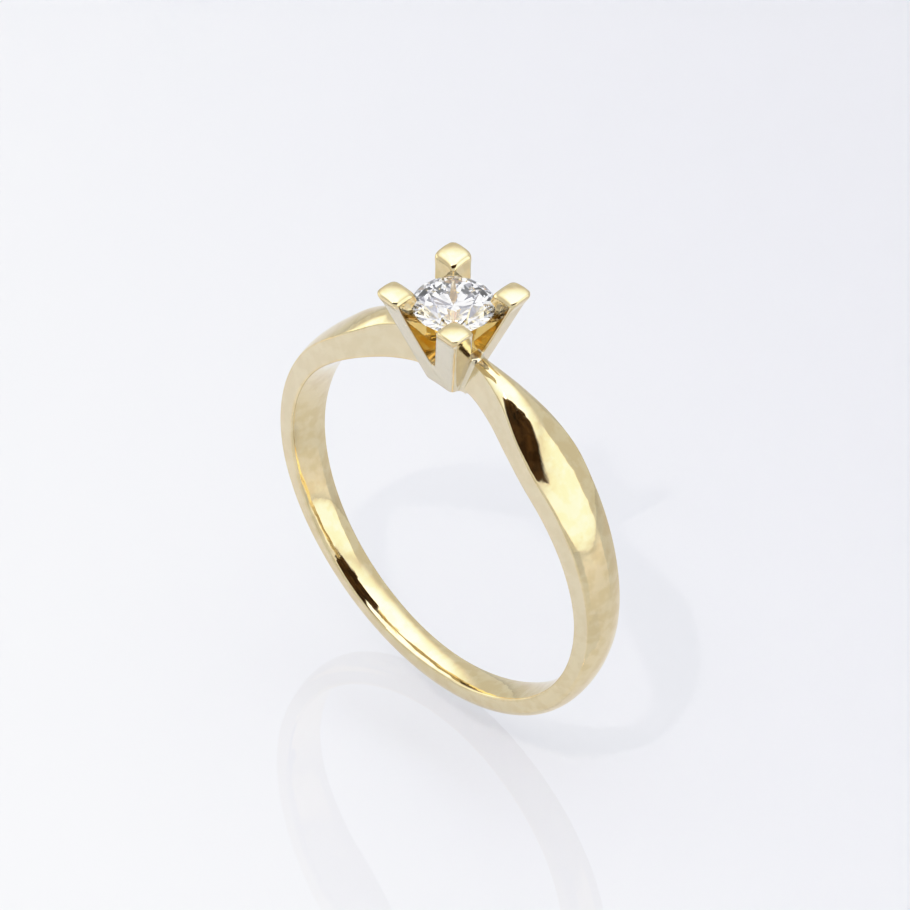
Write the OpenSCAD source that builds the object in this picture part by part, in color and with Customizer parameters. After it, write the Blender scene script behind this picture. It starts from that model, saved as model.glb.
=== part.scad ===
// Solitaire engagement ring: a leaf-shaped shank, a square four-claw head
// soldered between its shoulders, and one round brilliant-cut stone.
// Origin at the centre of the finger hole, +Y along the finger, +Z through the head.
// Angles round the shank are counted from its lowest point, so the head is at 180.

/* [Finger] */
// Inside diameter of the band
finger_d = 17.2; // [15:0.1:20]

/* [Shank] */
// Width of the band at its lowest point
bottom_w = 1.5; // [1.3:0.05:1.8]
// Width of the band at its widest, on the shoulders
shoulder_w = 2.9; // [2.5:0.05:3.2]
// Width of each shoulder where it meets the head
neck_w = 0.8; // [0.6:0.05:1]
// Height of the flat side face at the lowest point
bottom_side_h = 1; // [0.8:0.05:1.2]
// Height of the flat side face where a shoulder meets the head
neck_side_h = 2.05; // [1.9:0.05:2.15]

/* [Head] */
// Width of the square base at the finger hole
base_w = 1.7; // [1.5:0.05:1.9]
// Width across the claws, below their rounded tips
claw_span = 4.62; // [4.5:0.02:4.8]
// Height from the finger hole to where the claw span is measured
claw_h = 4.5; // [4.3:0.05:4.8]
// Thickness of each square claw
claw_t = 1.18; // [1.1:0.02:1.24]
// Height of the rounded tips' highest point above the finger hole
tip_h = 5.04; // [4.94:0.02:5.14]
// Radius of the rounding on top of each claw
tip_r = 1.1; // [1:0.05:1.4]
// Width of the chamfer down each outer corner
corner_w = 0.2; // [0.1:0.05:0.3]
// Height of the side notches' floor above the finger hole
side_notch_h = 1.42; // [1.3:0.02:1.6]
// Height of the notches' floor above the shoulders
shoulder_notch_h = 2.02; // [1.9:0.02:2.1]
// Thickness of the solder between a shoulder and the head
solder_t = 0.06; // [0.04:0.01:0.1]

/* [Stone] */
// Diameter of the round brilliant
stone_d = 3.7; // [3.6:0.05:3.8]
// Height of the stone's girdle above the finger hole
girdle_h = 4.2; // [4.15:0.01:4.25]
// Width of the table, as a share of the diameter
table_share = 0.57; // [0.53:0.01:0.62]
// Slope of the crown's main facets, in degrees
crown_angle = 34.5; // [32:0.5:36]
// Slope of the pavilion's main facets, in degrees
pavilion_angle = 41; // [40:0.2:41.6]

/* [Hidden] */
gold = [0.88, 0.77, 0.52];
solder_gold = [0.86, 0.76, 0.54];
diamond = [0.93, 0.94, 0.97, 0.6];

bore_r = finger_d / 2;
round_fn = 96;

// Cross-sections of the shank, at round stations from its lowest point to the head:
// angle, half width at the finger, half width at the edge, side height, crown height.
w0 = bottom_w / 2;
w1 = shoulder_w / 2;
w2 = neck_w / 2;
stations = [
    [0, w0, w0 - 0.12, bottom_side_h, 0.52],
    [30, w0 + 0.08, w0 - 0.06, bottom_side_h - 0.05, 0.42],
    [60, w0 + 0.18, w0 + 0.09, bottom_side_h - 0.1, 0.27],
    [90, w0 + 0.34, w0 + 0.25, bottom_side_h, 0.28],
    [110, w1 - 0.17, w1 - 0.3, bottom_side_h + 0.08, 0.29],
    [130, w1 - 0.01, w1 - 0.12, bottom_side_h + 0.22, 0.23],
    [140, w1, w1 - 0.03, bottom_side_h + 0.31, 0.28],
    [150, w1 - 0.24, w1 - 0.25, neck_side_h - 0.54, 0.42],
    [160, w2 + 0.38, w2 + 0.32, neck_side_h - 0.19, 0.38],
    [170, w2 + 0.03, w2 - 0.04, neck_side_h - 0.01, 0.18],
    [180, w2 - 0.02, w2 - 0.08, neck_side_h + 0.02, 0.1]];
last = len(stations) - 1;
ring_step = 3;
crown_steps = 8;
inner_cut = 0.5;

// Slope of a station's value k, from the stations on either side of it.
function slope(i, k) = (i == 0 || i == last) ? 0 :
    (stations[i + 1][k] - stations[i - 1][k]) / (stations[i + 1][0] - stations[i - 1][0]);

// Smooth cubic through the stations on either side of angle a.
function blend(i, k, a) =
    let (span = stations[i + 1][0] - stations[i][0], t = (a - stations[i][0]) / span)
    (2 * t * t * t - 3 * t * t + 1) * stations[i][k]
    + (t * t * t - 2 * t * t + t) * span * slope(i, k)
    + (3 * t * t - 2 * t * t * t) * stations[i + 1][k]
    + (t * t * t - t * t) * span * slope(i + 1, k);

function station_before(a) = max([for (i = [0:last - 1]) if (stations[i][0] <= a) i]);
function shank_value(k, a) = let (b = a > 180 ? 360 - a : a) blend(station_before(b), k, b);

// One cross-section's outline, as radius and place across the band.
function section(a) =
    let (wi = shank_value(1, a), wc = shank_value(2, a), edge_r = bore_r + shank_value(3, a),
        crown = shank_value(4, a))
    concat([[bore_r - inner_cut, -wi]],
        [for (i = [0:crown_steps]) let (v = 2 * i / crown_steps - 1) [edge_r + crown * (1 - v * v), v * wc]],
        [[bore_r - inner_cut, wi]]);

ring_count = 360 / ring_step;
section_count = crown_steps + 3;
band_points = [for (i = [0:ring_count - 1]) let (a = i * ring_step)
    for (p = section(a)) [p[0] * sin(a), p[1], -p[0] * cos(a)]];
function at(i, j) = (i % ring_count) * section_count + j % section_count;
band_faces = [for (i = [0:ring_count - 1]) for (j = [0:section_count - 1])
    for (f = [[at(i, j), at(i + 1, j + 1), at(i + 1, j)], [at(i, j), at(i, j + 1), at(i + 1, j + 1)]]) f];

// The head's outer planes lean out evenly from its base to the claws.
lean = (claw_span - base_w) / 2 / claw_h;
function head_half(h) = base_w / 2 + lean * h;
head_low = -0.4;
head_high = tip_h + 0.2;
notch_top = head_high + 0.2;
block_len = 2 * claw_span;

function corner_half(h) = head_half(h) * sqrt(2) - corner_w / 2;

// The notches' sides run parallel to the head's outer planes.
function notch_half(h) = head_half(h) - claw_t;
tip_centre = head_half(claw_h) - claw_t / 2;

stone_r = stone_d / 2;
girdle_t = 0.08;
girdle_top = bore_r + girdle_h + girdle_t / 2;
girdle_low = bore_r + girdle_h - girdle_t / 2;
table_r = stone_r * table_share;
table_z = girdle_top + (stone_r - table_r) * tan(crown_angle);
culet_z = girdle_low - stone_r * tan(pavilion_angle);
seat_gap = 0.02;

// Where the star facets and the lower halves end, on the planes of the main facets.
star_r = (table_r * cos(22.5) + stone_r) / 2;
star_z = girdle_top + (stone_r - star_r * cos(22.5)) * tan(crown_angle);
lower_r = 0.24 * stone_r;
lower_z = girdle_low - (stone_r - lower_r * cos(22.5)) * tan(pavilion_angle);

function ring_of(radius, height, first, count) =
    [for (i = [0:count - 1]) let (t = first + i * 360 / count) [radius * cos(t), radius * sin(t), height]];

stone_points = concat(
    ring_of(table_r, table_z, 0, 8),
    ring_of(star_r, star_z, 22.5, 8),
    ring_of(stone_r, girdle_top, 0, 16),
    ring_of(stone_r, girdle_low, 0, 16),
    ring_of(lower_r, lower_z, 22.5, 8),
    [[0, 0, culet_z]]);
function star(i) = 8 + i % 8;
function upper(i) = 16 + i % 16;
function under(i) = 32 + i % 16;
function lower(i) = 48 + i % 8;
culet = 56;
stone_faces = concat(
    [[for (i = [0:7]) 7 - i]],
    [for (i = [0:7]) [(i + 1) % 8, star(i), i]],
    [for (i = [0:7]) [star(i), upper(2 * i), star(i + 7), i]],
    [for (i = [0:7]) [upper(2 * i + 1), upper(2 * i), star(i)]],
    [for (i = [0:7]) [upper(2 * i + 2), upper(2 * i + 1), star(i)]],
    [for (i = [0:15]) [upper(i), upper(i + 1), under(i + 1), under(i)]],
    [for (i = [0:7]) [under(2 * i), under(2 * i + 1), lower(i)]],
    [for (i = [0:7]) [under(2 * i + 1), under(2 * i + 2), lower(i)]],
    [for (i = [0:7]) [lower(i + 7), under(2 * i), lower(i), culet]]);

// A wall as long as the head whose section, in X and Z, is a polygon above the finger hole.
module wall_along_y(points)
    translate([0, 0, bore_r]) rotate([90, 0, 0]) linear_extrude(height = block_len, center = true) polygon(points);

module finger_hole() rotate([90, 0, 0]) cylinder(r = bore_r, h = block_len, center = true, $fn = round_fn);

module band() polyhedron(points = band_points, faces = band_faces, convexity = 6);

// Two leaning planes, moved in or out by gap; the head is the overlap of two such wedges.
module wedge(gap)
    wall_along_y([
        [-head_half(head_low) - gap, head_low], [head_half(head_low) + gap, head_low],
        [head_half(head_high) + gap, head_high], [-head_half(head_high) - gap, head_high]]);

// Two leaning planes that trim a pair of the head's corners, which lie on its diagonal.
module corner_wedge() rotate([0, 0, 45])
    wall_along_y([
        [-corner_half(head_low), head_low], [corner_half(head_low), head_low],
        [corner_half(head_high), head_high], [-corner_half(head_high), head_high]]);

module head_block() intersection() {
    wedge(0);
    rotate([0, 0, 90]) wedge(0);
    corner_wedge();
    rotate([0, 0, 90]) corner_wedge();
}

module notch(floor_h)
    wall_along_y([
        [-notch_half(floor_h), floor_h], [notch_half(floor_h), floor_h],
        [notch_half(notch_top), notch_top], [-notch_half(notch_top), notch_top]]);

// Everything the rounded claw tips stay inside.
module tip_rounding() {
    tip_base = bore_r + tip_h - tip_r;
    translate([-block_len / 2, -block_len / 2, 0]) cube([block_len, block_len, tip_base]);
    for (x = [-1, 1], y = [-1, 1])
        translate([x * tip_centre, y * tip_centre, tip_base]) sphere(r = tip_r, $fn = round_fn);
}

// The seat cut into the claws, the stone's outline with a little room.
module stone_seat()
    rotate_extrude($fn = round_fn) polygon([
        [0, culet_z - seat_gap], [stone_r + seat_gap, girdle_low - seat_gap],
        [stone_r + seat_gap, girdle_top + seat_gap], [table_r, table_z + seat_gap], [0, table_z + seat_gap]]);

module solder_slab() intersection() {
    difference() {
        wedge(solder_t);
        wedge(0);
    }
    translate([0, -block_len / 2, bore_r / 2]) cube([block_len, block_len, bore_r]);
}

module shank() color(gold) difference() {
    band();
    finger_hole();
    wedge(solder_t);
}

module claw_head() color(gold) difference() {
    intersection() {
        head_block();
        tip_rounding();
    }
    notch(side_notch_h);
    rotate([0, 0, 90]) notch(shoulder_notch_h);
    stone_seat();
    finger_hole();
}

module centre_stone() color(diamond) polyhedron(points = stone_points, faces = stone_faces, convexity = 2);

module solder_seam_right() color(solder_gold) difference() {
    intersection() {
        band();
        solder_slab();
    }
    finger_hole();
}

module solder_seam_left() mirror([1, 0, 0]) solder_seam_right();

shank();
claw_head();
centre_stone();
solder_seam_left();
solder_seam_right();
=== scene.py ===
"""A yellow gold solitaire ring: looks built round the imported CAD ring.

Lengths are in millimetres unless a comment says metres, in the CAD frame: origin at the centre of the finger
hole, +Y along the finger, +Z up through the head. Angles are in degrees.
"""

import math

import bmesh
import bpy
import numpy as np
from mathutils import Matrix, Vector


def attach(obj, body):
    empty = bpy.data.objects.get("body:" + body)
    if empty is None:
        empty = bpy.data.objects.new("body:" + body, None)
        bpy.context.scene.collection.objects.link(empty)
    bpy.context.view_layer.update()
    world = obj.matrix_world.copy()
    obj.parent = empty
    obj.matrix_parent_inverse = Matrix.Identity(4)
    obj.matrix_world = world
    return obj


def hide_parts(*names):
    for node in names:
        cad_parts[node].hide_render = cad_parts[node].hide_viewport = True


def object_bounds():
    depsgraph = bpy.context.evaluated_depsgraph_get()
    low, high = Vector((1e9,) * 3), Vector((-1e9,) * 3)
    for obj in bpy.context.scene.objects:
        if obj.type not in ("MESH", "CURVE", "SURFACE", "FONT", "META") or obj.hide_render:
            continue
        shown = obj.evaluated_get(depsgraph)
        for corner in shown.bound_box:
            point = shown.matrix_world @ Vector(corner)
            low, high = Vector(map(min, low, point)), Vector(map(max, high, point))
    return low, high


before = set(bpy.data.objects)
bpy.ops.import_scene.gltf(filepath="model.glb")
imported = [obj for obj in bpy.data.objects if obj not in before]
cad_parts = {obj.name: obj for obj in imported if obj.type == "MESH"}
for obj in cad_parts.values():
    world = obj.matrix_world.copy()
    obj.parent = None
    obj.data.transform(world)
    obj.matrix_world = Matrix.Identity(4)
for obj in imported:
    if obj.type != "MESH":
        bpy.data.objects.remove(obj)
CAD_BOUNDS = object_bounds()
MM = 0.001

# The camera: where it stands round the ring, and the point it looks at, right of and above the origin.
AZIMUTH, ELEVATION, ROLL = 43.37, 42.43, 1.44
CAMERA_DISTANCE = 500.0
AIM_RIGHT, AIM_UP = 0.30, 2.85
# The width that the picture takes in at the ring, and that of the camera's sensor.
VIEW_WIDTH = 40.6
SENSOR = 36.0
# The nearest and farthest that the camera sees, in metres.
CLIP = (0.01, 10.0)
# Light bounces: in all, through the stone, and off glossy surfaces.
BOUNCES, STONE_BOUNCES, GLOSSY_BOUNCES = 24, 20, 8

# The shank, as in the CAD model.
BORE_R = 8.6
HALF_BOTTOM, HALF_SHOULDER, HALF_NECK = 0.75, 1.45, 0.4
BOTTOM_SIDE, NECK_SIDE = 1.0, 2.05
# Angle from the lowest point, half width at the finger, half width at the edge, side height, crown height.
STATIONS = np.array([
    [0, HALF_BOTTOM, HALF_BOTTOM - 0.12, BOTTOM_SIDE, 0.52],
    [30, HALF_BOTTOM + 0.08, HALF_BOTTOM - 0.06, BOTTOM_SIDE - 0.05, 0.42],
    [60, HALF_BOTTOM + 0.18, HALF_BOTTOM + 0.09, BOTTOM_SIDE - 0.1, 0.27],
    [90, HALF_BOTTOM + 0.34, HALF_BOTTOM + 0.25, BOTTOM_SIDE, 0.28],
    [110, HALF_SHOULDER - 0.17, HALF_SHOULDER - 0.3, BOTTOM_SIDE + 0.08, 0.29],
    [130, HALF_SHOULDER - 0.01, HALF_SHOULDER - 0.12, BOTTOM_SIDE + 0.22, 0.23],
    [140, HALF_SHOULDER, HALF_SHOULDER - 0.03, BOTTOM_SIDE + 0.31, 0.28],
    [150, HALF_SHOULDER - 0.24, HALF_SHOULDER - 0.25, NECK_SIDE - 0.54, 0.42],
    [160, HALF_NECK + 0.38, HALF_NECK + 0.32, NECK_SIDE - 0.19, 0.38],
    [170, HALF_NECK + 0.03, HALF_NECK - 0.04, NECK_SIDE - 0.01, 0.18],
    [180, HALF_NECK - 0.02, HALF_NECK - 0.08, NECK_SIDE + 0.02, 0.1]])

# The head and its claws, as in the CAD model.
BASE_HALF = 0.85
CLAW_HALF_SPAN = 2.31
CLAW_H = 4.5
CLAW_T = 1.18
LEAN = (CLAW_HALF_SPAN - BASE_HALF) / CLAW_H
TIP_H = 5.04
CORNER_W = 0.2
SIDE_NOTCH_H = 1.42
SHOULDER_NOTCH_H = 2.02
SOLDER_T = 0.06

# The stone, as in the CAD model.
STONE_R = 1.85
GIRDLE_Z = BORE_R + 4.2
GIRDLE_T = 0.08
TABLE_SHARE = 0.57
# In radians.
CROWN_ANGLE, PAVILION_ANGLE = math.radians(34.5), math.radians(41.0)


# ---------------------------------------------------------------- meshes

def make_mesh(name, points, faces):
    """A smooth mesh object from points in millimetres."""
    mesh = bpy.data.meshes.new(name)
    mesh.from_pydata((np.asarray(points) * MM).tolist(), [], faces)
    mesh.validate()
    mesh.polygons.foreach_set("use_smooth", [True] * len(mesh.polygons))
    piece = bpy.data.objects.new(name, mesh)
    bpy.context.collection.objects.link(piece)
    return piece


def point_values(piece, name, values):
    """Stores one number per vertex, for the materials to read."""
    layer = piece.data.attributes.new(name, "FLOAT", "POINT")
    layer.data.foreach_set("value", np.asarray(values, dtype=np.float32))


def flow_values(piece, values):
    """Stores where each vertex lies in millimetres, first along the way that the metal was rubbed."""
    layer = piece.data.attributes.new("flow", "FLOAT_VECTOR", "POINT")
    layer.data.foreach_set("vector", np.asarray(values, dtype=np.float32).ravel())


def round_max(a, b, k):
    """The larger of a and b, with the corner between them rounded over a width k."""
    return np.maximum(a, b) + np.maximum(k - np.abs(a - b), 0.0) ** 2 / (4 * k)


def round_min(a, b, k):
    return -round_max(-a, -b, k)


def smooth_step(low, high, x):
    t = np.clip((x - low) / (high - low), 0.0, 1.0)
    return t * t * (3 - 2 * t)


# The gradient's step, how often points are moved onto a surface, and the least that a move is divided by.
SLOPE_STEP = 0.002
MOVES = 4
LEAST_SLOPE = 0.05


def gradient(field, p):
    g = np.empty_like(p)
    for k in range(3):
        step = np.zeros(3)
        step[k] = SLOPE_STEP
        g[:, k] = (field(*(p + step).T) - field(*(p - step).T)) / (2 * SLOPE_STEP)
    return g


def surface_of(field, low, high, step):
    """The surface where field is 0, as points and quads: one point in each grid cell that it crosses."""
    axes = [np.arange(a, b + step, step) for a, b in zip(low, high)]
    value = field(*np.meshgrid(*axes, indexing="ij"))
    solid = value < 0
    cells = np.array(value.shape) - 1
    total = np.zeros(list(cells) + [3])
    crossings = np.zeros(cells)
    steps = np.eye(3, dtype=int)
    for axis in range(3):
        u, v = steps[(axis + 1) % 3], steps[(axis + 2) % 3]
        for offset in (0 * u, u, v, u + v):
            first = tuple(slice(o, o + n) for o, n in zip(offset, cells))
            second = tuple(slice(o, o + n) for o, n in zip(offset + steps[axis], cells))
            a, b = value[first], value[second]
            cross = solid[first] != solid[second]
            t = np.where(cross, a / np.where(cross, a - b, 1.0), 0.0)
            for k in range(3):
                total[..., k] += np.where(cross, offset[k] + t * steps[axis][k], 0.0)
            crossings += cross
    used = np.argwhere(crossings > 0)
    number = np.full(cells, -1)
    number[tuple(used.T)] = np.arange(len(used))
    within = total[tuple(used.T)] / crossings[tuple(used.T)][:, None]
    points = np.array([a[0] for a in axes]) + step * (used + within)
    quads = []
    for axis in range(3):
        u, v = steps[(axis + 1) % 3], steps[(axis + 2) % 3]
        inner = tuple(slice(1, n) if k != axis else slice(0, n) for k, n in enumerate(cells))
        ahead = tuple(slice(1, n) if k != axis else slice(1, n + 1) for k, n in enumerate(cells))
        change = solid[inner].astype(int) - solid[ahead].astype(int)
        for sign in (1, -1):
            at = np.argwhere(change == sign) + (1 - steps[axis])
            ring = [at - u - v, at - v, at, at - u]
            corner = [number[tuple(c.T)] for c in ring]
            quads.append(np.stack(corner if sign == 1 else corner[::-1], 1))
    quads = np.concatenate(quads)
    for _ in range(MOVES):
        g = gradient(field, points)
        points = points - field(*points.T)[:, None] * g / np.maximum((g * g).sum(1), LEAST_SLOPE)[:, None]
    return points, quads


def field_piece(name, field, low, high, step):
    """A piece whose surface is where field is 0, shaded with the field's own directions."""
    points, quads = surface_of(field, low, high, step)
    piece = make_mesh(name, points, quads.tolist())
    normals = gradient(field, points)
    normals /= np.linalg.norm(normals, axis=1)[:, None]
    piece.data.normals_split_custom_set_from_vertices(normals.tolist())
    return piece, points


# ---------------------------------------------------------------- shank

def from_bottom(angle):
    """The angle from the lowest point, the shorter way round."""
    return np.abs((np.asarray(angle, dtype=float) + 180) % 360 - 180)


def station(column, angle):
    """A station value at any angle from the lowest point, on the CAD model's smooth curve."""
    a = from_bottom(angle)
    x, y = STATIONS[:, 0], STATIONS[:, column]
    slope = np.zeros(len(x))
    slope[1:-1] = (y[2:] - y[:-2]) / (x[2:] - x[:-2])
    i = np.clip(np.searchsorted(x, a, side="right") - 1, 0, len(x) - 2)
    span = x[i + 1] - x[i]
    t = (a - x[i]) / span
    return ((2 * t ** 3 - 3 * t ** 2 + 1) * y[i] + (t ** 3 - 2 * t ** 2 + t) * span * slope[i]
            + (3 * t ** 2 - 2 * t ** 3) * y[i + 1] + (t ** 3 - t ** 2) * span * slope[i + 1])


# The power of the crown's curve, and the rounding between the bore wall and the side faces.
CROWN_POWER = 2.0
RIM_ROUND = 0.11
# The bore wall stands back by this much at its edges.
COMFORT, COMFORT_POWER = 0.18, 2.1
# Points along each stretch of half a cross-section, from mid bore wall to mid crown.
STRETCHES = {"bore": 14, "rim": 8, "side": 8, "edge": 9, "crown": 16}
RING_COUNT = 300
# The crown edge's rounding: the share of the crown that it takes on the shoulders, how much more it takes
# at the bottom, and the angles between which that changes.
EDGE_SHARE, EDGE_SHARE_MORE = 0.06, 0.5
EDGE_CHANGE = (10, 85)
# The most of the side face that the edge's rounding takes.
EDGE_REACH_MOST = 0.55
# The rim curve's middle point: its share of the bore wall's rise over the rim, and how far it is drawn in.
RIM_RISE, RIM_TUCK = 0.6, 0.02
# The hoop ends between these angles, and the exact ends take this many halvings to find.
END_ANGLES = (150.0, 179.0)
HALVINGS = 40
# The satin on the side faces: the points between which it fades in, counted inwards from the face's edges,
# its strength at the bottom, how much stronger it is on the shoulders, and the angles between which that
# changes.
SATIN_FADE = (-4, 1)
SATIN_BOTTOM, SATIN_MORE = 0.15, 0.3
SATIN_CHANGE = (50, 110)


def crown_point(angle, v):
    """Radius and place across the band on its outer surface: v is 1 at the edge and 0 at the middle."""
    edge_r = BORE_R + station(3, angle)
    return edge_r + station(4, angle) * (1 - v ** CROWN_POWER), v * station(2, angle)


def edge_share(angle):
    """The share of the crown that its edge's rounding takes: crisp on the shoulders, soft at the bottom."""
    a = from_bottom(angle)
    return EDGE_SHARE + EDGE_SHARE_MORE * (1 - smooth_step(*EDGE_CHANGE, a))


def bore_rise(across, half_width):
    """How far the bore wall, rounded for comfort, stands back from the finger."""
    return COMFORT * (across / half_width) ** COMFORT_POWER


def bend(a, b, c, t):
    """A point on the curve from a to c that is tangent to the lines from b."""
    return [(1 - t) ** 2 * p + 2 * t * (1 - t) * q + t ** 2 * s for p, q, s in zip(a, b, c)]


def between(a, b, t):
    return [p + (q - p) * t for p, q in zip(a, b)]


def stretch_point(stretch, a, t):
    """Radius and place across, a share t of the way along one stretch of the cross-section at angle a."""
    v = 1 - edge_share(a)
    if stretch == "crown":
        return crown_point(a, v * (1 - t))
    wi, wc, side_h, crown_h = (station(column, a) for column in (1, 2, 3, 4))
    rim_corner = (BORE_R + COMFORT, wi)
    if stretch == "bore":
        return BORE_R + bore_rise(t * (wi - RIM_ROUND), wi), t * (wi - RIM_ROUND)
    # The side face and the crown's tangent meet at the outer corner, which the edge curve rounds off.
    crown_end = crown_point(a, v)
    crown_slope = -crown_h * CROWN_POWER * v ** (CROWN_POWER - 1)
    side_slope = (wc - wi) / side_h
    reach = (wi + side_slope * (crown_end[0] - BORE_R) - crown_end[1]) / (wc - side_slope * crown_slope)
    corner = (crown_end[0] + reach * crown_slope, crown_end[1] + reach * wc)
    length = np.hypot(corner[0] - rim_corner[0], corner[1] - wi)
    back = np.minimum(reach * np.hypot(crown_slope, wc), EDGE_REACH_MOST * length) / length
    side_start = between(rim_corner, corner, RIM_ROUND / length)
    side_end = between(corner, rim_corner, back)
    if stretch == "rim":
        wall_end = (BORE_R + bore_rise(wi - RIM_ROUND, wi), wi - RIM_ROUND)
        wall_slope = COMFORT * COMFORT_POWER * (1 - RIM_ROUND / wi) ** (COMFORT_POWER - 1) / wi
        return bend(wall_end, (wall_end[0] + wall_slope * RIM_ROUND * RIM_RISE, wi - RIM_TUCK), side_start, t)
    if stretch == "side":
        return between(side_start, side_end, t)
    return bend(side_end, corner, crown_end, t)


def half_outline(angle):
    """Radius and place across for an array of angles with one column per point of half a cross-section."""
    columns, first = [], 0
    for stretch, count in STRETCHES.items():
        shares = np.linspace(0, 1, count, endpoint=stretch == "crown")
        columns.append(stretch_point(stretch, angle[:, first:first + count], shares))
        first += count
    return np.concatenate([c[0] for c in columns], 1), np.concatenate([c[1] for c in columns], 1)


def on_band(angle):
    """X, Y and Z for an array of angles with one column per point of half a cross-section."""
    r, y = half_outline(angle)
    t = np.radians(angle)
    return r * np.sin(t), y, -r * np.cos(t)


def head_half(h):
    """Half the head's width at height h above the finger hole."""
    return BASE_HALF + LEAN * h


def make_shank():
    """The hoop, swept round from one solder seam to the other. Each line ends on the seam's leaning plane."""
    half = sum(STRETCHES.values())
    low, high = (np.full((1, half), angle) for angle in END_ANGLES)
    for _ in range(HALVINGS):
        middle = (low + high) / 2
        x, _, z = on_band(middle)
        outside = x > head_half(z - BORE_R) + SOLDER_T
        low, high = np.where(outside, middle, low), np.where(outside, high, middle)
    share = np.linspace(-1, 1, RING_COUNT)[:, None]
    x, y, z = on_band(share * low)
    mirrored = slice(half - 2, 0, -1)
    whole = [np.concatenate([c, sign * c[:, mirrored]], 1) for c, sign in ((x, 1), (y, -1), (z, 1))]
    points = np.stack(whole, 2)
    rows, cols = points.shape[:2]
    faces = []
    for i in range(rows - 1):
        for j in range(cols):
            k = (j + 1) % cols
            faces.append((i * cols + j, (i + 1) * cols + j, (i + 1) * cols + k, i * cols + k))
    faces.append(tuple(range(cols)))
    faces.append(tuple((rows - 1) * cols + j for j in range(cols))[::-1])
    piece = make_mesh("shank_hoop", points.reshape(-1, 3), faces)
    for cap in piece.data.polygons[-2:]:
        cap.use_smooth = False
    first = STRETCHES["bore"] + STRETCHES["rim"]
    last = first + STRETCHES["side"]
    column = np.arange(half)
    outer, inner = SATIN_FADE
    side = smooth_step(first + outer, first + inner, column)
    side = side * (1 - smooth_step(last - inner, last - outer, column))
    fade = SATIN_BOTTOM + SATIN_MORE * smooth_step(*SATIN_CHANGE, np.abs(share * low).mean(1))
    point_values(piece, "satin", (fade[:, None] * np.concatenate([side, side[mirrored]])).ravel())
    turned = np.radians(share * low)
    along = np.concatenate([turned, turned[:, mirrored]], 1) * BORE_R
    radius = np.hypot(points[:, :, 0], points[:, :, 2])
    flow_values(piece, np.stack([along, radius, points[:, :, 1]], 2).reshape(-1, 3))
    return piece


# ---------------------------------------------------------------- head and solder

EDGE_ROUND = 0.06
NOTCH_ROUND = 0.3
NOTCH_EDGE = 0.12
# The pads: their height, how far they swell past the claws, and the rounding of their upright edges.
PAD_H, PAD_SWELL, PAD_ROUND = 0.75, 0.05, 0.25
TIP_EDGE_ROUND = 0.22
TIP_DOME_R = 2.6
LEAN_COS = 1 / math.sqrt(1 + LEAN ** 2)
TIP_CENTRE = BASE_HALF + LEAN * TIP_H - CLAW_T / 2
GIRDLE_TOP, GIRDLE_LOW = GIRDLE_Z + GIRDLE_T / 2, GIRDLE_Z - GIRDLE_T / 2
SEAT_GAP = 0.015


def pad_share(h):
    """0 on the claws and 1 on the rounded pads at their tops."""
    return smooth_step(TIP_H - PAD_H, TIP_H - PAD_H / 3, h)


def outer_planes(x, y, z):
    """Distance outside the head's four leaning sides and its trimmed corners."""
    pad = pad_share(z - BORE_R)
    half = head_half(z - BORE_R) + PAD_SWELL * pad
    edge = EDGE_ROUND + (PAD_ROUND - EDGE_ROUND) * pad
    sides = round_max((np.abs(x) - half) * LEAN_COS, (np.abs(y) - half) * LEAN_COS, edge)
    corner = (np.abs(x) + np.abs(y)) / math.sqrt(2) - half * math.sqrt(2) + CORNER_W / 2
    return round_max(sides, corner / math.sqrt(1 + 2 * LEAN ** 2), EDGE_ROUND)


def notch(across, z, floor_h):
    """Distance outside a notch cut between the claws, whose sides run parallel to the head's."""
    h = z - BORE_R
    wall = np.abs(across) - head_half(h) + CLAW_T + PAD_SWELL * pad_share(h)
    return round_max(wall * LEAN_COS, floor_h - h, NOTCH_ROUND)


def stone_room(x, y, z):
    """Distance outside the space that the stone fills in its seat."""
    r = np.hypot(x, y)
    below = (GIRDLE_LOW - z) * math.cos(PAVILION_ANGLE) + (r - STONE_R) * math.sin(PAVILION_ANGLE)
    above = (z - GIRDLE_TOP) * math.cos(CROWN_ANGLE) + (r - STONE_R) * math.sin(CROWN_ANGLE)
    return np.maximum(np.maximum(below, above), r - STONE_R) - SEAT_GAP


def head_field(x, y, z):
    """Distance outside the head, roughly."""
    metal = outer_planes(x, y, z)
    edge = NOTCH_EDGE + (PAD_ROUND - NOTCH_EDGE) * pad_share(z - BORE_R)
    metal = round_max(metal, -notch(x, z, SIDE_NOTCH_H), edge)
    metal = round_max(metal, -notch(y, z, SHOULDER_NOTCH_H), edge)
    from_centre = (np.abs(x) - TIP_CENTRE) ** 2 + (np.abs(y) - TIP_CENTRE) ** 2
    top = z - BORE_R - TIP_H + from_centre / (2 * TIP_DOME_R)
    metal = round_max(metal, top, TIP_EDGE_ROUND)
    metal = round_max(metal, -stone_room(x, y, z), EDGE_ROUND / 2)
    return round_max(metal, BORE_R - np.hypot(x, z), EDGE_ROUND)


def band_field(x, y, z):
    """Distance outside the shank, roughly, near its ends."""
    r = np.hypot(x, z)
    angle = np.degrees(np.arctan2(x, -z))
    wi, wc, side_h, crown_h = (station(column, angle) for column in (1, 2, 3, 4))
    across = np.abs(y)
    side = across - (wi + (wc - wi) * (r - BORE_R) / side_h)
    crown = r - BORE_R - side_h - crown_h * (1 - (across / wc) ** CROWN_POWER)
    return round_max(round_max(side, crown, EDGE_ROUND), BORE_R - r, EDGE_ROUND)


# The solder: its fillet's rounding, how far it reaches from the joint, and how far under the gold it dips.
FILLET = 0.3
SEAM_REACH = 0.34
HIDDEN = 0.004
SOLDER_SATIN = 0.7
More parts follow.
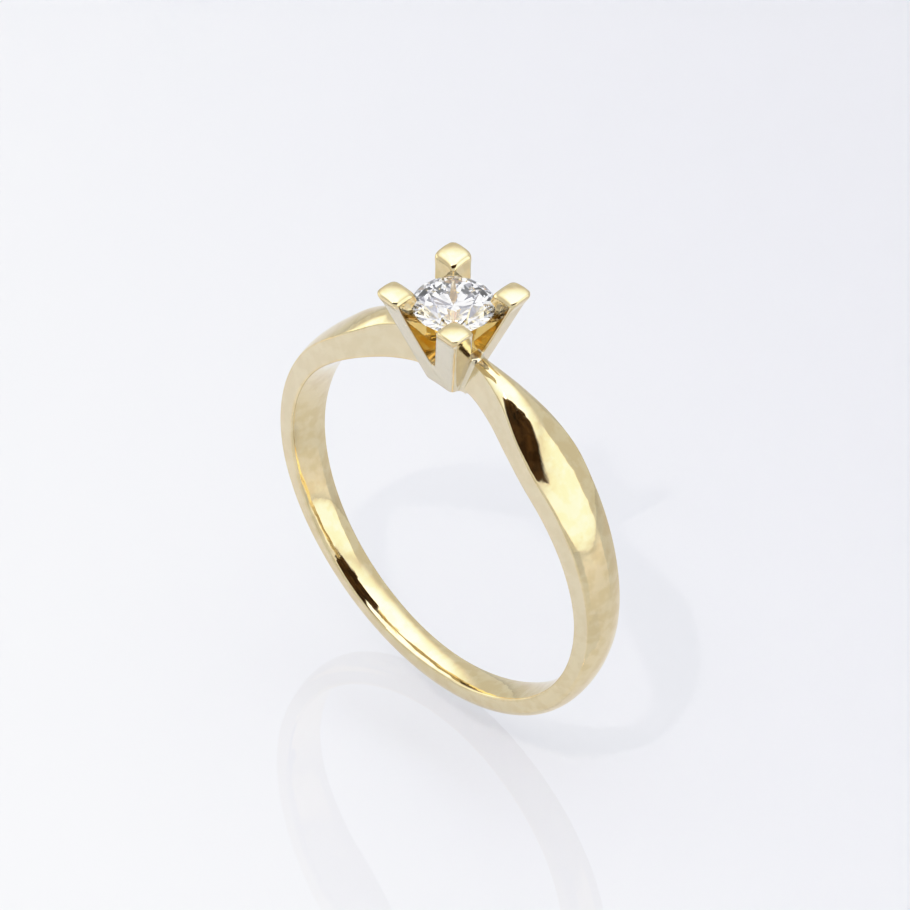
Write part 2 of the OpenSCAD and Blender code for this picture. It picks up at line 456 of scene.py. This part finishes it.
# The boxes in which surfaces are looked for, past the head's sides, foot and top and round the right-hand
# seam, and the sizes of their cells.
HEAD_MARGIN = (0.35, 0.2, 0.15)
HEAD_CELL = 0.04
SEAM_LOW = (0.3, -1.3, BORE_R - 0.1)
SEAM_HIGH = (2.4, 1.3, BORE_R + 3.0)
SEAM_CELL = 0.035
# The satin on the head's sides: how near to a side's plane it starts and is full, its strength on the sides
# that face the shoulders, and how far under the tips it ends.
SIDE_NEAR = (-0.16, -0.02)
SHOULDER_SATIN = 0.35
SATIN_UNDER_TIP = (0.5, 0.38)
# The painted reflection, amber light bounced between the claws and painted into the gold: how far inside the
# head's sides it starts and is full, and the heights at which it comes and goes.
PAINTED_REFLECTION_INSIDE = (0.01, 0.12)
PAINTED_REFLECTION_FROM, PAINTED_REFLECTION_TO = (1.8, 2.2), (3.6, 4.2)


def seam_field(x, y, z):
    """The solder: a fillet between a shoulder and the head, which dips just under both where it fades out."""
    band = band_field(x, y, z)
    joined = round_min(head_field(x, y, z), band, FILLET) + HIDDEN
    from_seam = np.abs(x - head_half(z - BORE_R) - SOLDER_T / 2) * LEAN_COS
    reach = np.maximum(from_seam, band) - SEAM_REACH
    return np.maximum(np.maximum(joined, reach), BORE_R - np.hypot(x, z) + HIDDEN)


def make_head():
    across, below, above = HEAD_MARGIN
    reach = CLAW_HALF_SPAN + across
    piece, points = field_piece("claw_head_body", head_field, (-reach, -reach, BORE_R - below),
                                (reach, reach, BORE_R + TIP_H + above), HEAD_CELL)
    x, y, z = points.T
    h = z - BORE_R
    on_face = smooth_step(*SIDE_NEAR, np.abs(y) - head_half(h))
    on_side = smooth_step(*SIDE_NEAR, np.abs(x) - head_half(h))
    below_pad = 1 - smooth_step(*(TIP_H - drop for drop in SATIN_UNDER_TIP), h)
    point_values(piece, "satin", np.maximum(on_face, SHOULDER_SATIN * on_side) * below_pad)
    flow_values(piece, np.stack([h, x, y], 1))
    # Painted reflection: amber bounced light, painted into the notches between the claws below their tips.
    inside = np.minimum(head_half(h) - np.abs(x), head_half(h) - np.abs(y))
    painted_reflection = smooth_step(*PAINTED_REFLECTION_INSIDE, inside) * (1 - smooth_step(*PAINTED_REFLECTION_TO, h)) * smooth_step(*PAINTED_REFLECTION_FROM, h)
    point_values(piece, "painted_reflection", painted_reflection)
    return piece


def make_seam(side, name):
    points, quads = surface_of(seam_field, SEAM_LOW, SEAM_HIGH, SEAM_CELL)
    points[:, 0] *= side
    piece = make_mesh(name, points, (quads if side > 0 else quads[:, ::-1]).tolist())
    point_values(piece, "satin", np.full(len(points), SOLDER_SATIN))
    flow_values(piece, points)
    return piece


# ---------------------------------------------------------------- stone

GIRDLE_SIDES = 96
BLANK_H = 6
# A brilliant has eight of each main facet. Its lower girdle facets reach in to this share of its radius.
FACETS = 8
TURN, HALF_TURN = 45, 22.5
LOWER_SHARE = 0.24
CUT_MERGE, POINT_MERGE = 1e-6, 1e-5


def on_circle(radius, degrees, z):
    t = math.radians(degrees)
    return Vector((radius * math.cos(t), radius * math.sin(t), z))


def facet_planes():
    """A point and an outward direction for each facet of a round brilliant, the table first."""
    table_r = STONE_R * TABLE_SHARE
    table_z = GIRDLE_TOP + (STONE_R - table_r) * math.tan(CROWN_ANGLE)
    half_step = math.cos(math.radians(HALF_TURN))
    star_r = (table_r * half_step + STONE_R) / 2
    star_z = GIRDLE_TOP + (STONE_R - star_r * half_step) * math.tan(CROWN_ANGLE)
    lower_r = LOWER_SHARE * STONE_R
    lower_z = GIRDLE_LOW - (STONE_R - lower_r * half_step) * math.tan(PAVILION_ANGLE)
    culet = Vector((0, 0, GIRDLE_LOW - STONE_R * math.tan(PAVILION_ANGLE)))
    centre = Vector((0, 0, GIRDLE_Z))
    planes = [(Vector((0, 0, table_z)), Vector((0, 0, 1)))]

    def add_plane(a, b, c):
        normal = (b - a).cross(c - a).normalized()
        planes.append((a, normal if normal.dot(a - centre) > 0 else -normal))

    for k in range(FACETS):
        t = TURN * k
        star, lower = on_circle(star_r, t + HALF_TURN, star_z), on_circle(lower_r, t + HALF_TURN, lower_z)
        add_plane(on_circle(table_r, t, table_z), on_circle(star_r, t - HALF_TURN, star_z), star)
        add_plane(on_circle(table_r, t, table_z), on_circle(table_r, t + TURN, table_z), star)
        add_plane(culet, on_circle(lower_r, t - HALF_TURN, lower_z), lower)
        for first in (t, t + HALF_TURN):
            for inner, z in ((star, GIRDLE_TOP), (lower, GIRDLE_LOW)):
                add_plane(inner, on_circle(STONE_R, first, z), on_circle(STONE_R, first + HALF_TURN, z))
    return planes


def make_stone():
    """A round blank, cut by each facet's plane in turn."""
    bm = bmesh.new()
    bmesh.ops.create_cone(bm, cap_ends=True, segments=GIRDLE_SIDES, radius1=STONE_R, radius2=STONE_R,
                          depth=BLANK_H)
    bmesh.ops.translate(bm, vec=(0, 0, GIRDLE_Z), verts=bm.verts)
    for point, normal in facet_planes():
        cut = bmesh.ops.bisect_plane(bm, geom=bm.verts[:] + bm.edges[:] + bm.faces[:], plane_co=point,
                                     plane_no=normal, clear_outer=True, dist=CUT_MERGE)
        edges = [e for e in cut["geom_cut"] if isinstance(e, bmesh.types.BMEdge)]
        if edges:
            bmesh.ops.contextual_create(bm, geom=edges)
    bmesh.ops.remove_doubles(bm, verts=bm.verts, dist=POINT_MERGE)
    bmesh.ops.recalc_face_normals(bm, faces=bm.faces)
    bmesh.ops.scale(bm, vec=(MM, MM, MM), verts=bm.verts)
    mesh = bpy.data.meshes.new("brilliant_stone")
    bm.to_mesh(mesh)
    bm.free()
    piece = bpy.data.objects.new("brilliant_stone", mesh)
    bpy.context.collection.objects.link(piece)
    return piece


# ---------------------------------------------------------------- materials

def add(nodes, kind, **settings):
    node = nodes.new(kind)
    for key, value in settings.items():
        setattr(node, key, value)
    return node


GOLD = (0.79, 0.675, 0.42)
SATIN_GOLD = (0.74, 0.69, 0.56)
# Painted reflection: the amber that light bounced between the claws gives, painted into the gold's colour.
PAINTED_REFLECTION_GOLD = (0.76, 0.56, 0.2)
# Rubbed lines: noise steps per millimetre along and across them, their depth in metres, and the share of it
# that is left where the gold is polished.
RUBBED_SCALE = (0.8, 16.0, 16.0)
RUBBED_DETAIL = 4.0
RUBBED_DEPTH = 0.000002
RUBBED_POLISHED = 0.25
# Dents: noise steps per metre, and their depth in metres.
DENTS_SCALE, DENTS_DETAIL = 1300.0, 1.5
DENTS_DEPTH = 0.000014
# Patches: noise steps per metre, the noise values between which they turn, and the darker ones' share of the
# gold's colour.
PATCH_SCALE, PATCH_DETAIL = 1500.0, 5.0
PATCH_FROM, PATCH_TO = 0.4, 0.6
WORN_SHARE = (0.95, 0.915, 0.85)
# Roughness: the least and most on polished gold, and that of the satin.
POLISHED_LEAST, POLISHED_MOST = 0.03, 0.09
SATIN_ROUGH = 0.24


def gold_material(name):
    """Polished gold, with a paler satin finish and a painted reflection, amber bounced light, where the
    mesh's values say so.
    """
    material = bpy.data.materials.new(name)
    material.use_nodes = True
    nodes, links = material.node_tree.nodes, material.node_tree.links
    shader = nodes["Principled BSDF"]
    shader.inputs["Metallic"].default_value = 1.0
    spot = add(nodes, "ShaderNodeTexCoord")
    finish = add(nodes, "ShaderNodeAttribute", attribute_name="satin")

    cloud = add(nodes, "ShaderNodeTexNoise")
    cloud.inputs["Scale"].default_value = PATCH_SCALE
    cloud.inputs["Detail"].default_value = PATCH_DETAIL
    links.new(spot.outputs["Object"], cloud.inputs["Vector"])

    tint = add(nodes, "ShaderNodeMix", data_type="RGBA")
    tint.inputs["A"].default_value = (*[c * share for c, share in zip(GOLD, WORN_SHARE)], 1)
    tint.inputs["B"].default_value = (*GOLD, 1)
    patches = add(nodes, "ShaderNodeMapRange", interpolation_type="SMOOTHSTEP")
    patches.inputs["From Min"].default_value = PATCH_FROM
    patches.inputs["From Max"].default_value = PATCH_TO
    links.new(cloud.outputs["Fac"], patches.inputs["Value"])
    links.new(patches.outputs["Result"], tint.inputs["Factor"])
    colour = add(nodes, "ShaderNodeMix", data_type="RGBA")
    colour.inputs["B"].default_value = (*SATIN_GOLD, 1)
    links.new(finish.outputs["Fac"], colour.inputs["Factor"])
    links.new(tint.outputs["Result"], colour.inputs["A"])
    # The painted reflection's share, stored on the mesh, mixes the amber into the gold.
    recess = add(nodes, "ShaderNodeAttribute", attribute_name="painted_reflection")
    inner = add(nodes, "ShaderNodeMix", data_type="RGBA")
    inner.inputs["B"].default_value = (*PAINTED_REFLECTION_GOLD, 1)
    links.new(recess.outputs["Fac"], inner.inputs["Factor"])
    links.new(colour.outputs["Result"], inner.inputs["A"])
    links.new(inner.outputs["Result"], shader.inputs["Base Color"])

    smear = add(nodes, "ShaderNodeMapRange")
    smear.inputs["To Min"].default_value = POLISHED_LEAST
    smear.inputs["To Max"].default_value = POLISHED_MOST
    links.new(cloud.outputs["Fac"], smear.inputs["Value"])
    rough = add(nodes, "ShaderNodeMix", data_type="FLOAT")
    rough.inputs["B"].default_value = SATIN_ROUGH
    links.new(finish.outputs["Fac"], rough.inputs["Factor"])
    links.new(smear.outputs["Result"], rough.inputs["A"])
    links.new(rough.outputs["Result"], shader.inputs["Roughness"])

    flow = add(nodes, "ShaderNodeAttribute", attribute_name="flow")
    stretch = add(nodes, "ShaderNodeMapping")
    stretch.inputs["Scale"].default_value = RUBBED_SCALE
    links.new(flow.outputs["Vector"], stretch.inputs["Vector"])
    rubbed = add(nodes, "ShaderNodeTexNoise")
    rubbed.inputs["Scale"].default_value = 1.0
    rubbed.inputs["Detail"].default_value = RUBBED_DETAIL
    links.new(stretch.outputs["Vector"], rubbed.inputs["Vector"])
    dents = add(nodes, "ShaderNodeTexNoise")
    dents.inputs["Scale"].default_value = DENTS_SCALE
    dents.inputs["Detail"].default_value = DENTS_DETAIL
    links.new(spot.outputs["Object"], dents.inputs["Vector"])
    waves = add(nodes, "ShaderNodeBump")
    waves.inputs["Distance"].default_value = DENTS_DEPTH
    links.new(dents.outputs["Fac"], waves.inputs["Height"])
    lines = add(nodes, "ShaderNodeBump")
    lines.inputs["Distance"].default_value = RUBBED_DEPTH
    links.new(rubbed.outputs["Fac"], lines.inputs["Height"])
    depth = add(nodes, "ShaderNodeMapRange")
    depth.inputs["To Min"].default_value = RUBBED_POLISHED
    depth.inputs["To Max"].default_value = 1.0
    links.new(finish.outputs["Fac"], depth.inputs["Value"])
    links.new(depth.outputs["Result"], lines.inputs["Strength"])
    links.new(waves.outputs["Normal"], lines.inputs["Normal"])
    links.new(lines.outputs["Normal"], shader.inputs["Normal"])
    return material


# The diamond's two faint tints, and the noise steps per metre between them.
STONE_TINTS = {"A": (0.985, 0.985, 1.0, 1), "B": (1.0, 0.995, 0.985, 1)}
STONE_TINT_SCALE = 900.0
DIAMOND_IOR = 2.417


def diamond_material():
    """Clear diamond with perfectly polished facets."""
    material = bpy.data.materials.new("diamond_facets")
    material.use_nodes = True
    nodes, links = material.node_tree.nodes, material.node_tree.links
    shader = nodes["Principled BSDF"]
    spot = add(nodes, "ShaderNodeTexCoord")
    tint = add(nodes, "ShaderNodeTexNoise")
    tint.inputs["Scale"].default_value = STONE_TINT_SCALE
    links.new(spot.outputs["Object"], tint.inputs["Vector"])
    colour = add(nodes, "ShaderNodeMix", data_type="RGBA")
    for end, value in STONE_TINTS.items():
        colour.inputs[end].default_value = value
    links.new(tint.outputs["Fac"], colour.inputs["Factor"])
    links.new(colour.outputs["Result"], shader.inputs["Base Color"])
    shader.inputs["Roughness"].default_value = 0.0
    shader.inputs["IOR"].default_value = DIAMOND_IOR
    shader.inputs["Transmission Weight"].default_value = 1.0
    return material


# The floor is a little darker towards the far right, a painted shade: its two colours, that direction from +X
# in degrees, and how many metres from the middle the change ends.
FLOOR_COLOURS = {"A": (0.89, 0.895, 0.92, 1), "B": (0.745, 0.745, 0.785, 1)}
FLOOR_SHADE_TURN = 65.0
FLOOR_SHADE_REACH = 0.05
FLOOR_ROUGH = 0.9
# The sheet glows as if lit from below, a painted light which softens the shadows: the share of its brightness
# that this gives.
FLOOR_GLOW = 0.3


def floor_material():
    """The white sheet under the clear one, which takes the shadows."""
    material = bpy.data.materials.new("white_sheet")
    material.use_nodes = True
    nodes, links = material.node_tree.nodes, material.node_tree.links
    shader = nodes["Principled BSDF"]
    shader.inputs["Roughness"].default_value = FLOOR_ROUGH
    shader.inputs["Specular IOR Level"].default_value = 0.0
    spot = add(nodes, "ShaderNodeTexCoord")
    turn = add(nodes, "ShaderNodeMapping")
    turn.inputs["Rotation"].default_value = (0, 0, -math.radians(FLOOR_SHADE_TURN))
    links.new(spot.outputs["Object"], turn.inputs["Vector"])
    parts = add(nodes, "ShaderNodeSeparateXYZ")
    links.new(turn.outputs["Vector"], parts.inputs["Vector"])
    # Painted shade: the sheet's colour darkens towards the far right.
    shade = add(nodes, "ShaderNodeMapRange", interpolation_type="SMOOTHSTEP")
    shade.inputs["From Min"].default_value = -FLOOR_SHADE_REACH
    shade.inputs["From Max"].default_value = FLOOR_SHADE_REACH
    links.new(parts.outputs["X"], shade.inputs["Value"])
    colour = add(nodes, "ShaderNodeMix", data_type="RGBA")
    for end, value in FLOOR_COLOURS.items():
        colour.inputs[end].default_value = value
    links.new(shade.outputs["Result"], colour.inputs["Factor"])
    links.new(colour.outputs["Result"], shader.inputs["Emission Color"])
    # Painted light: part of the sheet's brightness is its own glow, though it is no lamp.
    shader.inputs["Emission Strength"].default_value = FLOOR_GLOW
    lit = add(nodes, "ShaderNodeVectorMath", operation="SCALE")
    lit.inputs["Scale"].default_value = 1 - FLOOR_GLOW
    links.new(colour.outputs["Result"], lit.inputs[0])
    links.new(lit.outputs["Vector"], shader.inputs["Base Color"])
    return material


CLEAR_ROUGH, CLEAR_IOR = 0.03, 1.62


def clear_material():
    """A clear glossy sheet: its reflections, and what lies straight behind it."""
    material = bpy.data.materials.new("clear_sheet")
    material.use_nodes = True
    nodes, links = material.node_tree.nodes, material.node_tree.links
    nodes.clear()
    gloss = add(nodes, "ShaderNodeBsdfGlossy")
    gloss.inputs["Roughness"].default_value = CLEAR_ROUGH
    mix = add(nodes, "ShaderNodeMixShader")
    fresnel = add(nodes, "ShaderNodeFresnel")
    fresnel.inputs["IOR"].default_value = CLEAR_IOR
    links.new(fresnel.outputs["Fac"], mix.inputs["Fac"])
    links.new(add(nodes, "ShaderNodeBsdfTransparent").outputs["BSDF"], mix.inputs[1])
    links.new(gloss.outputs["BSDF"], mix.inputs[2])
    links.new(mix.outputs["Shader"], add(nodes, "ShaderNodeOutputMaterial").inputs["Surface"])
    return material


# ---------------------------------------------------------------- assembly

def place(piece, material, node):
    piece.data.materials.append(material)
    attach(piece, "root")
    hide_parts(node)


gold = gold_material("yellow_gold")
solder = gold_material("gold_solder")
place(make_shank(), gold, "shank")
place(make_head(), gold, "claw_head")
place(make_seam(1, "solder_fillet_right"), solder, "solder_seam_right")
place(make_seam(-1, "solder_fillet_left"), solder, "solder_seam_left")
place(make_stone(), diamond_material(), "centre_stone")


# ---------------------------------------------------------------- stage, light and camera

# In metres.
FLOOR_SIZE = 3.0
# The floor is a clear glossy sheet over a white sheet, which takes the shadows a little lower down.
SHEET_DEPTH = 2.8
SKY = (0.95, 0.97, 1.0)
# The sky's brightness low down and high up, and the elevations between which it changes.
SKY_LOW, SKY_HIGH = 0.78, 2.0
SKY_FROM, SKY_TO = 25, 68
WARM_DARK = (1.0, 0.5, 0.2)
WHITE = (1, 1, 1)
# Each card's azimuth (as the camera's), elevation, distance, width, height, most brightness, the share of it
# that is left where the card is darkest, colour, and the shares of the card's width and height that each
# faded edge takes.
CARDS = {
    "right_box": (112, 17, 600, 560, 480, 1.6, 0.9, WHITE, 0.04, 0.3),
    "left_box": (-62, 14, 600, 640, 260, 1.8, 0.9, WHITE, 0.3, 0.3),
    "small_lamp": (6, 57, 900, 80, 80, 18.0, 0.9, (1, 0.96, 0.9), 0.3, 0.3),
    "dark_card": (54, 52, 420, 700, 200, 0.1, 0.1, WARM_DARK, 0.12, 0.04)}
# A small dark card inside the hoop, which only the bore's wall next to it shows, and the longest rays that
# meet it.
WALL_CARD = (-84, -54, 6.6, 0.9, 1.7, 0.1, 0.1, WARM_DARK, 0.05, 0.05)
WALL_CARD_REACH = 4.0
# A lamp that isn't seen in the metal: it only lights, and gives the ring its second, sharper shadow.
SHADOW_LAMP = (20, 57, 900, 22, 22, 1750.0, 0.9, WHITE, 0.3, 0.3)
# Cards that only the light inside the stone meets: a ceiling, and grey strips for its darker facets.
STONE_CARDS = {"stone_ceiling": (0, 90, 450, 760, 760, 1.3, 0.45, (1, 0.985, 1), 0.2, 0.2)}
# What every strip's values are after its azimuth and elevation, and those two for each strip.
STRIP = (420, 90, 460, 0.42, 0.3, (0.84, 0.82, 1.0), 0.2, 0.2)
STRIP_PLACES = ((12, 56), (64, 50), (98, 62), (128, 40), (176, 58), (214, 44), (262, 60), (318, 48))
for spot, (azimuth, elevation) in enumerate(STRIP_PLACES):
    STONE_CARDS[f"stone_strip_{spot}"] = (azimuth, elevation, *STRIP)
# Cards dimmer than this are only seen in reflections: they neither light nor shade anything.
DIM = 1


def toward(azimuth, elevation):
    a, e = math.radians(azimuth), math.radians(elevation)
    return Vector((math.sin(a) * math.cos(e), -math.cos(a) * math.cos(e), math.sin(e)))


def make_card(name, azimuth, elevation, distance, width, height, level, least, colour, *faded):
    """A flat light or dark card that faces the ring and that the camera doesn't see."""
    mesh = bpy.data.meshes.new(name)
    corners = [(MM * i * width / 2, MM * j * height / 2, 0) for i, j in ((-1, -1), (1, -1), (1, 1), (-1, 1))]
    mesh.from_pydata(corners, [], [(0, 1, 2, 3)])
    card = bpy.data.objects.new(name, mesh)
    bpy.context.collection.objects.link(card)
    aim = toward(azimuth, elevation)
    across = toward(azimuth + 90, 0)
    rise = aim.cross(across)
    centre = MM * distance * aim
    card.matrix_world = Matrix([[across[k], rise[k], aim[k], centre[k]] for k in range(3)] + [[0, 0, 0, 1]])
    mesh.materials.append(card_material(name, level, least, colour, faded))
    card.visible_camera = False
    if level < DIM:
        card.visible_diffuse = card.visible_shadow = card.visible_transmission = False
    return card


# The cards' cloudiness: noise steps across a card, and the noise values between which it brightens.
CLOUD_SCALE, CLOUD_DETAIL = 5.0, 3.0
CLOUD_FROM, CLOUD_TO = 0.3, 0.7


def card_material(name, level, least, colour, faded):
    """A cloudy glow that fades to nothing at the card's edges."""
    material = bpy.data.materials.new(name)
    material.use_nodes = True
    nodes, links = material.node_tree.nodes, material.node_tree.links
    nodes.clear()
    spot = add(nodes, "ShaderNodeTexCoord")
    parts = add(nodes, "ShaderNodeSeparateXYZ")
    links.new(spot.outputs["Generated"], parts.inputs["Vector"])
    fade = add(nodes, "ShaderNodeMath", operation="MULTIPLY")
    for k, axis in enumerate("XY"):
        from_edge = add(nodes, "ShaderNodeMath", operation="PINGPONG")
        from_edge.inputs[1].default_value = 0.5
        links.new(parts.outputs[axis], from_edge.inputs[0])
        ramp = add(nodes, "ShaderNodeMapRange", interpolation_type="SMOOTHSTEP")
        ramp.inputs["From Max"].default_value = faded[k]
        links.new(from_edge.outputs["Value"], ramp.inputs["Value"])
        links.new(ramp.outputs["Result"], fade.inputs[k])
    cloud = add(nodes, "ShaderNodeTexNoise")
    cloud.inputs["Scale"].default_value = CLOUD_SCALE
    cloud.inputs["Detail"].default_value = CLOUD_DETAIL
    links.new(spot.outputs["Generated"], cloud.inputs["Vector"])
    strength = add(nodes, "ShaderNodeMapRange")
    strength.inputs["From Min"].default_value = CLOUD_FROM
    strength.inputs["From Max"].default_value = CLOUD_TO
    strength.inputs["To Min"].default_value = level * least
    strength.inputs["To Max"].default_value = level
    links.new(cloud.outputs["Fac"], strength.inputs["Value"])
    glow = add(nodes, "ShaderNodeEmission")
    glow.inputs["Color"].default_value = (*colour, 1)
    links.new(strength.outputs["Result"], glow.inputs["Strength"])
    mix = add(nodes, "ShaderNodeMixShader")
    links.new(fade.outputs["Value"], mix.inputs["Fac"])
    links.new(add(nodes, "ShaderNodeBsdfTransparent").outputs["BSDF"], mix.inputs[1])
    links.new(glow.outputs["Emission"], mix.inputs[2])
    links.new(mix.outputs["Shader"], add(nodes, "ShaderNodeOutputMaterial").inputs["Surface"])
    return material


def keep_near(card, reach):
    """Hides the card from rays that come from farther away than reach, in metres."""
    nodes, links = card.active_material.node_tree.nodes, card.active_material.node_tree.links
    far = add(nodes, "ShaderNodeMath", operation="GREATER_THAN")
    far.inputs[1].default_value = reach
    links.new(add(nodes, "ShaderNodeLightPath").outputs["Ray Length"], far.inputs[0])
    output = nodes["Material Output"]
    near = output.inputs["Surface"].links[0].from_socket
    mix = add(nodes, "ShaderNodeMixShader")
    links.new(far.outputs["Value"], mix.inputs["Fac"])
    links.new(near, mix.inputs[1])
    links.new(add(nodes, "ShaderNodeBsdfTransparent").outputs["BSDF"], mix.inputs[2])
    links.new(mix.outputs["Shader"], output.inputs["Surface"])


def make_floor():
    sheets = (("clear_sheet", 0.0, clear_material()), ("white_sheet", SHEET_DEPTH, floor_material()))
    for name, drop, material in sheets:
        bpy.ops.mesh.primitive_plane_add(size=FLOOR_SIZE, location=(0, 0, CAD_BOUNDS[0][2] - MM * drop))
        floor = bpy.context.object
        floor.name = name
        floor.data.materials.append(material)


def make_world():
    """A pale sky, brighter overhead than at the horizon."""
    world = bpy.data.worlds.new("studio")
    bpy.context.scene.world = world
    world.use_nodes = True
    nodes, links = world.node_tree.nodes, world.node_tree.links
    background = nodes["Background"]
    background.inputs["Color"].default_value = (*SKY, 1)
    way = add(nodes, "ShaderNodeTexCoord")
    parts = add(nodes, "ShaderNodeSeparateXYZ")
    links.new(way.outputs["Generated"], parts.inputs["Vector"])
    level = add(nodes, "ShaderNodeMapRange", interpolation_type="SMOOTHSTEP")
    level.inputs["From Min"].default_value = math.sin(math.radians(SKY_FROM))
    level.inputs["From Max"].default_value = math.sin(math.radians(SKY_TO))
    level.inputs["To Min"].default_value = SKY_LOW
    level.inputs["To Max"].default_value = SKY_HIGH
    links.new(parts.outputs["Z"], level.inputs["Value"])
    links.new(level.outputs["Result"], background.inputs["Strength"])


# The picture's tone curve: scene brightness, and the brightness that it is shown with.
TONE_WHITE = 2.0
TONES = ((0.4, 0.4), (0.6, 0.62), (0.8, 0.85), (1.0, 0.965), (1.3, 0.995))


def make_tones():
    view = bpy.context.scene.view_settings
    view.view_transform = "Standard"
    view.use_curve_mapping = True
    curves = view.curve_mapping
    curves.extend = "HORIZONTAL"
    curves.white_level = (TONE_WHITE, TONE_WHITE, TONE_WHITE)
    for scene_level, shown in TONES:
        curves.curves[3].points.new(scene_level / TONE_WHITE, shown)
    curves.update()


def make_camera():
    a, roll = math.radians(AZIMUTH), math.radians(ROLL)
    back = toward(AZIMUTH, ELEVATION)
    level = Vector((math.cos(a), math.sin(a), 0))
    upright = back.cross(level)
    right = math.cos(roll) * level + math.sin(roll) * upright
    up = math.cos(roll) * upright - math.sin(roll) * level
    data = bpy.data.cameras.new("camera")
    data.sensor_width = SENSOR
    data.lens = SENSOR * CAMERA_DISTANCE / VIEW_WIDTH
    data.clip_start, data.clip_end = CLIP
    camera = bpy.data.objects.new("camera", data)
    stand = MM * (CAMERA_DISTANCE * back + AIM_RIGHT * right + AIM_UP * up)
    camera.matrix_world = Matrix([[right[k], up[k], back[k], stand[k]] for k in range(3)] + [[0, 0, 0, 1]])
    bpy.context.collection.objects.link(camera)
    bpy.context.scene.camera = camera


make_floor()
make_world()
for name, settings in CARDS.items():
    make_card(name, *settings)
for name, settings in STONE_CARDS.items():
    card = make_card(name, *settings)
    card.visible_glossy = card.visible_diffuse = card.visible_shadow = False
    card.visible_transmission = True
keep_near(make_card("wall_card", *WALL_CARD), MM * WALL_CARD_REACH)
shadow_lamp = make_card("shadow_lamp", *SHADOW_LAMP)
shadow_lamp.visible_glossy = shadow_lamp.visible_transmission = False
make_camera()
make_tones()
cycles = bpy.context.scene.cycles
cycles.max_bounces = BOUNCES
cycles.transmission_bounces = STONE_BOUNCES
cycles.glossy_bounces = GLOSSY_BOUNCES
